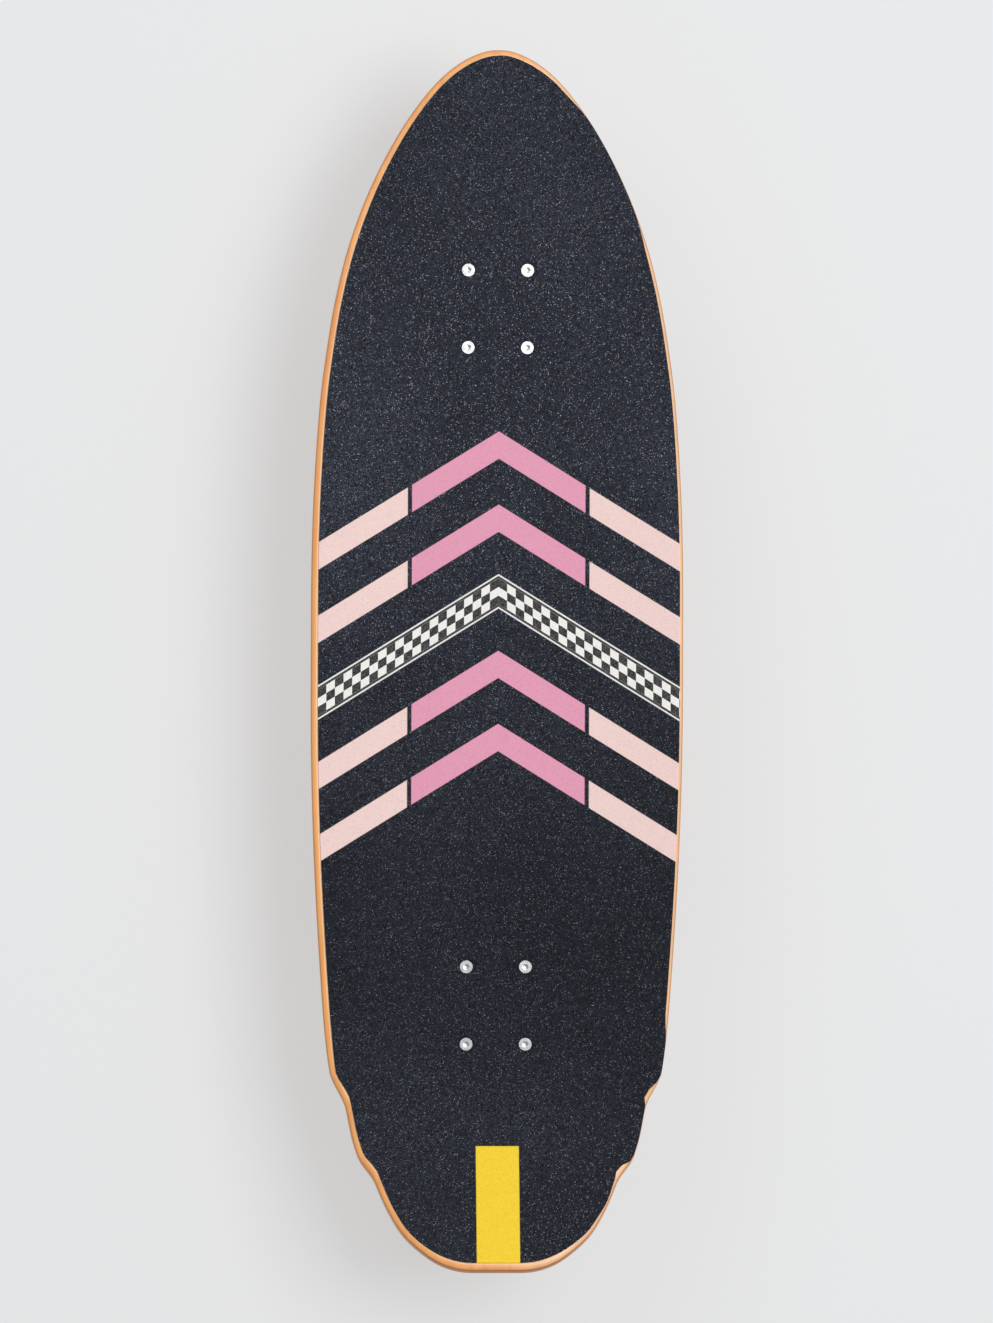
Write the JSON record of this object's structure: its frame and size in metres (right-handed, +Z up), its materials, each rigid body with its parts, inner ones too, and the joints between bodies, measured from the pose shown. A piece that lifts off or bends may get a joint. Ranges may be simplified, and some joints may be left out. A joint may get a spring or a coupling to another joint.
{
  "type": "surf skateboard",
  "caption": "Wide surf skateboard with gripped maple deck, kicked tail, winged outline, swinging sprung front truck, leaning rear truck and soft wheels.",
  "frame": {"origin": "on the ground under the middle of the deck", "axes": "+Y along the board to its nose, +X to the rider's right, +Z up out of the deck"},
  "size_m": [0.26, 0.85, 0.152],
  "materials": {
    "grip": "coarse grit",
    "stained_maple": "orange stained, satin",
    "maple": "sealed edge",
    "black_aluminium": "black satin",
    "cast_aluminium": "tumbled",
    "steel": "zinc plated",
    "black_plastic": "moulded",
    "bushing_urethane": "cast, slightly clear",
    "urethane": "cast, satin"
  },
  "bodies": {
    "board": {"grip_tape": "grip", "top_veneer": "stained_maple", "core_veneers": "maple", "bottom_veneer": "stained_maple", "front_bolt_nose_left": "steel", "front_nut_nose_left": "steel", "front_bolt_nose_right": "steel", "front_nut_nose_right": "steel", "front_bolt_tail_left": "steel", "front_nut_tail_left": "steel", "front_bolt_tail_right": "steel", "front_nut_tail_right": "steel", "rear_bolt_nose_left": "steel", "rear_nut_nose_left": "steel", "rear_bolt_nose_right": "steel", "rear_nut_nose_right": "steel", "rear_bolt_tail_left": "steel", "rear_nut_tail_left": "steel", "rear_bolt_tail_right": "steel", "rear_nut_tail_right": "steel", "surf_base": "black_aluminium", "swing_pivot_bolt": "steel", "swing_pivot_nut": "steel", "return_spring": "steel", "rear_riser": "black_plastic", "rear_baseplate": "cast_aluminium", "rear_pivot_cup": "black_plastic", "rear_kingpin": "steel", "rear_kingpin_nut": "steel", "rear_board_bushing": "bushing_urethane", "rear_road_bushing": "bushing_urethane", "rear_cup_washer": "steel"},
    "swing": {"swing_arm": "cast_aluminium", "swing_pivot_bushing": "black_plastic", "front_pivot_cup": "black_plastic", "front_kingpin": "steel", "front_kingpin_nut": "steel", "front_board_bushing": "bushing_urethane", "front_road_bushing": "bushing_urethane", "front_cup_washer": "steel"},
    "front_truck": {"front_hanger": "cast_aluminium", "front_axle": "steel", "front_left_axle_nut": "steel", "front_right_axle_nut": "steel"},
    "rear_truck": {"rear_hanger": "cast_aluminium", "rear_axle": "steel", "rear_left_axle_nut": "steel", "rear_right_axle_nut": "steel"},
    "front_left_wheel_set": {"front_left_wheel": "urethane", "front_left_inner_bearing": "steel", "front_left_outer_bearing": "steel"},
    "front_right_wheel_set": {"front_right_wheel": "urethane", "front_right_inner_bearing": "steel", "front_right_outer_bearing": "steel"},
    "rear_left_wheel_set": {"rear_left_wheel": "urethane", "rear_left_inner_bearing": "steel", "rear_left_outer_bearing": "steel"},
    "rear_right_wheel_set": {"rear_right_wheel": "urethane", "rear_right_inner_bearing": "steel", "rear_right_outer_bearing": "steel"}
  },
  "joints": [
    {"name": "surf_swing", "type": "hinge", "parent": "board", "child": "swing", "pos_m": [0, 0.201, 0.08], "axis": [0, 0, 1], "range_deg": [-28, 28], "stiffness_Nm_per_rad": 4, "deforming": ["return_spring"]},
    {"name": "front_lean", "type": "hinge", "parent": "swing", "child": "front_truck", "pos_m": [0, 0.233, 0.053], "axis": [0, 0.8638, 0.5039], "range_deg": [-18, 18], "stiffness_Nm_per_rad": 28, "deforming": ["front_board_bushing", "front_road_bushing"]},
    {"name": "rear_lean", "type": "hinge", "parent": "board", "child": "rear_truck", "pos_m": [0, -0.229, 0.053], "axis": [0, -0.8638, 0.5039], "range_deg": [-18, 18], "stiffness_Nm_per_rad": 28, "deforming": ["rear_board_bushing", "rear_road_bushing"]},
    {"name": "front_left_wheel_spin", "type": "hinge", "parent": "front_truck", "child": "front_left_wheel_set", "pos_m": [-0.0719, 0.249, 0.033], "axis": [1, 0, 0], "continuous": true},
    {"name": "front_right_wheel_spin", "type": "hinge", "parent": "front_truck", "child": "front_right_wheel_set", "pos_m": [0.0719, 0.249, 0.033], "axis": [1, 0, 0], "continuous": true},
    {"name": "rear_left_wheel_spin", "type": "hinge", "parent": "rear_truck", "child": "rear_left_wheel_set", "pos_m": [-0.0719, -0.245, 0.033], "axis": [1, 0, 0], "continuous": true},
    {"name": "rear_right_wheel_spin", "type": "hinge", "parent": "rear_truck", "child": "rear_right_wheel_set", "pos_m": [0.0719, -0.245, 0.033], "axis": [1, 0, 0], "continuous": true}
  ]
}
